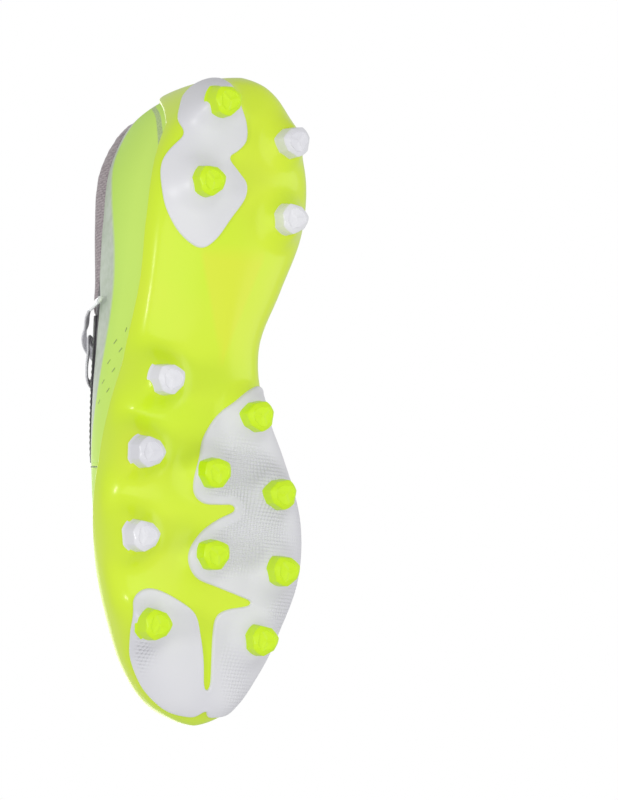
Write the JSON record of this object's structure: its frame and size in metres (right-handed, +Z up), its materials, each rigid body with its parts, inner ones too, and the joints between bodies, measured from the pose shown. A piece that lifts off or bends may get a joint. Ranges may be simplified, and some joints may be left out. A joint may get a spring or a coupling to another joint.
{
  "type": "soccer cleat",
  "caption": "Left soccer cleat: moulded stud plate with two-colour inlays, lasted knit upper, padded collar, laced throat and a tongue whose free end folds forward.",
  "frame": {"origin": "centre of the footprint's bounding box, on the ground plane that the stud tips touch", "axes": "+Y from heel to toe, +Z up, +X towards the inner (medial) side of the foot"},
  "size_m": [0.1022, 0.2935, 0.1145],
  "materials": {
    "volt_plate": "smooth glossy moulded polyurethane, slightly translucent, yellow-green",
    "white_inlay": "satin white moulded polyurethane with a fine dimple pattern",
    "volt_stud": "glossy moulded polyurethane, yellow-green",
    "white_stud": "glossy moulded polyurethane, white",
    "board": "stitched nonwoven board",
    "sockliner": "knit top cloth on foam",
    "stiffener": "thermoformed sheet",
    "knit_upper": "fine grey-green knit under a thin matt film",
    "coated_upper": "knit with a matt lime film that fades to grey",
    "lining": "brushed knit over foam",
    "collar": "padded knit, pinkish grey melange",
    "tongue": "charcoal knit mesh",
    "label": "plain woven patch",
    "eyestay": "charcoal film on knit",
    "lace": "flat braided polyester",
    "aglet": "clear film sleeve over the braid"
  },
  "bodies": {
    "shoe": {"sole_plate": "volt_plate", "heel_inlay": "white_inlay", "forefoot_inlay": "white_inlay", "stud_heel_back_outer": "volt_stud", "stud_heel_front_outer": "volt_stud", "stud_heel_back_inner": "white_stud", "stud_heel_front_inner": "white_stud", "stud_arch_outer": "white_stud", "stud_ball_back_outer": "white_stud", "stud_ball_front_outer": "white_stud", "stud_arch_inner": "volt_stud", "stud_centre_back": "volt_stud", "stud_ball_back_inner": "volt_stud", "stud_centre_front": "volt_stud", "stud_ball_front_inner": "volt_stud", "stud_toe_outer": "volt_stud", "stud_toe_inner": "volt_stud", "lasting_board": "board", "sockliner": "sockliner", "heel_stiffener": "stiffener", "toe_puff": "stiffener", "vamp": "knit_upper", "lateral_quarter": "coated_upper", "medial_quarter": "coated_upper", "heel_lining": "lining", "collar": "collar", "tongue_base": "tongue", "eyestay_lateral": "eyestay", "eyestay_medial": "eyestay", "lace_rows": "lace", "lace_knot": "lace", "lace_loop_lateral": "lace", "lace_loop_medial": "lace", "lace_tail_lateral": "lace", "lace_tail_medial": "lace", "aglet_lateral": "aglet", "aglet_medial": "aglet"},
    "tongue": {"tongue_top": "tongue", "tongue_label": "label"}
  },
  "joints": [
    {"name": "tongue_fold", "type": "hinge", "parent": "shoe", "child": "tongue", "pos_m": [-0.00115, -0.0317, 0.1031], "axis": [-1, 0, 0], "range_deg": [-4, 60]}
  ]
}
